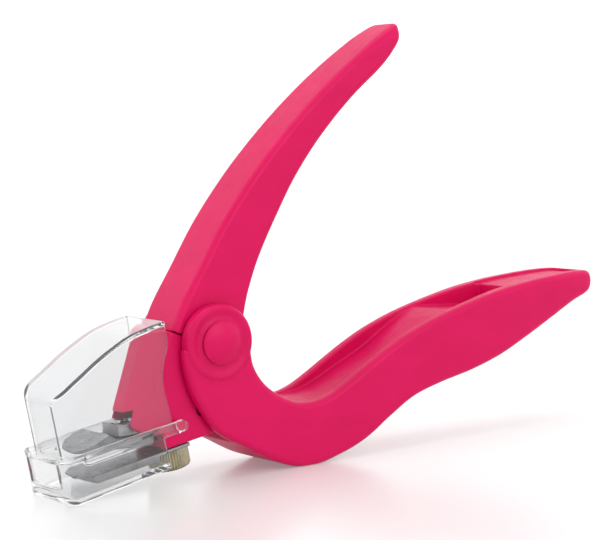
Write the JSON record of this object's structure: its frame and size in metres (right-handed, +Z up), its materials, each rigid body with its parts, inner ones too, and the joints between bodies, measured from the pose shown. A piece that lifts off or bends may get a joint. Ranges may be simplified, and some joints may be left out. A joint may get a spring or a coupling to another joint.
{
  "type": "pet nail clipper",
  "caption": "Squeeze-handle pet nail clipper whose cam lever rocks an upper blade onto a fixed lower blade inside a clear pull-off nail catcher.",
  "frame": {"origin": "middle of the footprint, on the surface that the clipper rests on", "axes": "+X from the jaws toward the lower handle's tip, Y along the pivot pin, +Z up"},
  "size_m": [0.1642, 0.0262, 0.1057],
  "materials": {
    "pink_plastic": "satin moulded plastic",
    "clear_plastic": "clear polished plastic",
    "blade_steel": "ground",
    "knob_nickel": "knurled, tarnished nickel over brass",
    "insert_brass": "turned",
    "plate_steel": "stamped",
    "fixing_steel": "bright",
    "spring_steel": "drawn wire",
    "washer_nylon": "plain"
  },
  "bodies": {
    "frame": {"upper_handle": "pink_plastic", "head_housing": "pink_plastic", "pivot_pin": "fixing_steel", "pivot_cap_near": "pink_plastic", "pivot_cap_far": "pink_plastic", "pivot_washer_near": "washer_nylon", "pivot_washer_far": "washer_nylon", "cam_bush": "insert_brass", "handle_spring": "spring_steel", "carrier_pin": "fixing_steel", "return_leaf": "spring_steel", "lower_blade": "blade_steel", "blade_dowel_near": "fixing_steel", "blade_dowel_far": "fixing_steel", "threaded_insert": "insert_brass"},
    "lever": {"lower_handle": "pink_plastic", "cam_plate": "plate_steel", "cam_rivet_1": "fixing_steel", "cam_rivet_2": "fixing_steel"},
    "rocker": {"blade_carrier": "plate_steel", "cam_follower_pin": "fixing_steel", "upper_blade": "blade_steel", "blade_screw_1": "fixing_steel", "blade_screw_2": "fixing_steel"},
    "knob": {"thumbscrew": "knob_nickel"},
    "catcher": {"catcher_cover": "clear_plastic", "catcher_tray": "clear_plastic"}
  },
  "joints": [
    {"name": "handle_squeeze", "type": "hinge", "parent": "frame", "child": "lever", "pos_m": [-0.03929, 0, 0.03227], "axis": [0, -1, 0], "range_deg": [0, 28], "stiffness_Nm_per_rad": 0.25, "springref_deg": -34.38, "deforming": ["handle_spring", "return_leaf"]},
    {"name": "blade_rock", "type": "hinge", "parent": "frame", "child": "rocker", "pos_m": [-0.04279, 0, 0.01698], "axis": [0, -1, 0], "range_deg": [0, 9.5]},
    {"name": "knob_turn", "type": "hinge", "parent": "frame", "child": "knob", "pos_m": [-0.04877, 0, 0.00795], "axis": [-0.1668, 0, 0.986], "continuous": true},
    {"name": "catcher_pull", "type": "slide", "parent": "frame", "child": "catcher", "axis": [-0.986, 0, -0.1668], "range_m": [0, 0.038]}
  ],
  "couplings": [
    {"joint": "blade_rock", "follows": "handle_squeeze", "ratio": 0.339}
  ]
}
